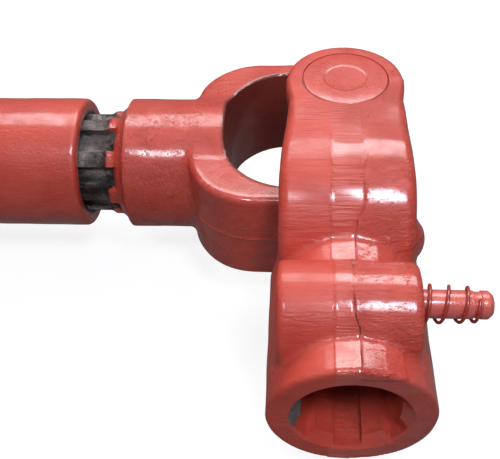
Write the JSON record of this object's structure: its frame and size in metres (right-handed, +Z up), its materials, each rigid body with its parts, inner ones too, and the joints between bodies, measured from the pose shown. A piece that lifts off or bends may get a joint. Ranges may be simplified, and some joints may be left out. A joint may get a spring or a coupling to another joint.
{
  "type": "universal joint shaft",
  "caption": "Telescoping universal joint shaft with a splined push-pin hub yoke, cross and needle bearings at each end, painted red.",
  "frame": {"origin": "start of the splined wall of the tractor-side socket, on its axis", "axes": "+Z up, -Y out of the tractor-side socket, -X along the telescope towards the implement end"},
  "size_m": [0.4812, 0.1516, 0.082],
  "materials": {
    "red_paint": "glossy brushed and sprayed enamel, salmon red, over forged steel",
    "pin_paint": "thin glossy red enamel over steel",
    "bearing_steel": "ground and hardened steel with an oil film",
    "roller_steel": "polished bearing steel",
    "seal_rubber": "matt black nitrile rubber",
    "nipple_zinc": "yellow zinc plated steel"
  },
  "bodies": {
    "tractor_hub": {"tractor_hub_yoke": "red_paint", "tractor_pin_plug": "red_paint", "tractor_pin_spring": "pin_paint", "tractor_cup_top": "red_paint", "tractor_cup_bottom": "red_paint", "tractor_needles_top": "roller_steel", "tractor_needles_bottom": "roller_steel", "tractor_seal_top": "seal_rubber", "tractor_seal_bottom": "seal_rubber", "tractor_clip_top": "bearing_steel", "tractor_clip_bottom": "bearing_steel"},
    "tractor_pin": {"tractor_lock_pin": "pin_paint"},
    "tractor_spider": {"tractor_cross": "bearing_steel", "tractor_grease_nipple": "nipple_zinc"},
    "shaft": {"shaft_yoke": "red_paint", "tractor_cup_front": "red_paint", "tractor_cup_back": "red_paint", "tractor_needles_front": "roller_steel", "tractor_needles_back": "roller_steel", "tractor_seal_front": "seal_rubber", "tractor_seal_back": "seal_rubber", "tractor_clip_front": "bearing_steel", "tractor_clip_back": "bearing_steel"},
    "sleeve": {"sleeve_yoke": "red_paint", "implement_cup_front": "red_paint", "implement_cup_back": "red_paint", "implement_needles_front": "roller_steel", "implement_needles_back": "roller_steel", "implement_seal_front": "seal_rubber", "implement_seal_back": "seal_rubber", "implement_clip_front": "bearing_steel", "implement_clip_back": "bearing_steel"},
    "implement_spider": {"implement_cross": "bearing_steel", "implement_grease_nipple": "nipple_zinc"},
    "implement_hub": {"implement_hub_yoke": "red_paint", "implement_pin_plug": "red_paint", "implement_pin_spring": "pin_paint", "implement_cup_top": "red_paint", "implement_cup_bottom": "red_paint", "implement_needles_top": "roller_steel", "implement_needles_bottom": "roller_steel", "implement_seal_top": "seal_rubber", "implement_seal_bottom": "seal_rubber", "implement_clip_top": "bearing_steel", "implement_clip_bottom": "bearing_steel"},
    "implement_pin": {"implement_lock_pin": "pin_paint"}
  },
  "joints": [
    {"name": "tractor_pin_push", "type": "slide", "parent": "tractor_hub", "child": "tractor_pin", "axis": [-1, 0, 0], "range_m": [0, 0.0092], "stiffness_N_per_m": 1500, "springref_m": -0.004, "deforming": ["tractor_pin_spring"]},
    {"name": "tractor_hub_swing", "type": "hinge", "parent": "tractor_hub", "child": "tractor_spider", "pos_m": [0, 0.1076, 0], "axis": [0, 0, -1], "range_deg": [0, 180]},
    {"name": "shaft_tilt", "type": "hinge", "parent": "tractor_spider", "child": "shaft", "pos_m": [0, 0.1076, 0], "axis": [0, 1, 0], "range_deg": [-18, 18]},
    {"name": "telescope", "type": "slide", "parent": "shaft", "child": "sleeve", "axis": [-1, 0, 0], "range_m": [-0.008, 0.08]},
    {"name": "sleeve_tilt", "type": "hinge", "parent": "sleeve", "child": "implement_spider", "pos_m": [-0.33, 0.1076, 0], "axis": [0, 1, 0], "range_deg": [-18, 18]},
    {"name": "implement_hub_swing", "type": "hinge", "parent": "implement_spider", "child": "implement_hub", "pos_m": [-0.33, 0.1076, 0], "axis": [0, 0, 1], "range_deg": [-90, 90]},
    {"name": "implement_pin_push", "type": "slide", "parent": "implement_hub", "child": "implement_pin", "axis": [0, 1, 0], "range_m": [0, 0.0092], "stiffness_N_per_m": 1500, "springref_m": -0.004, "deforming": ["implement_pin_spring"]}
  ]
}
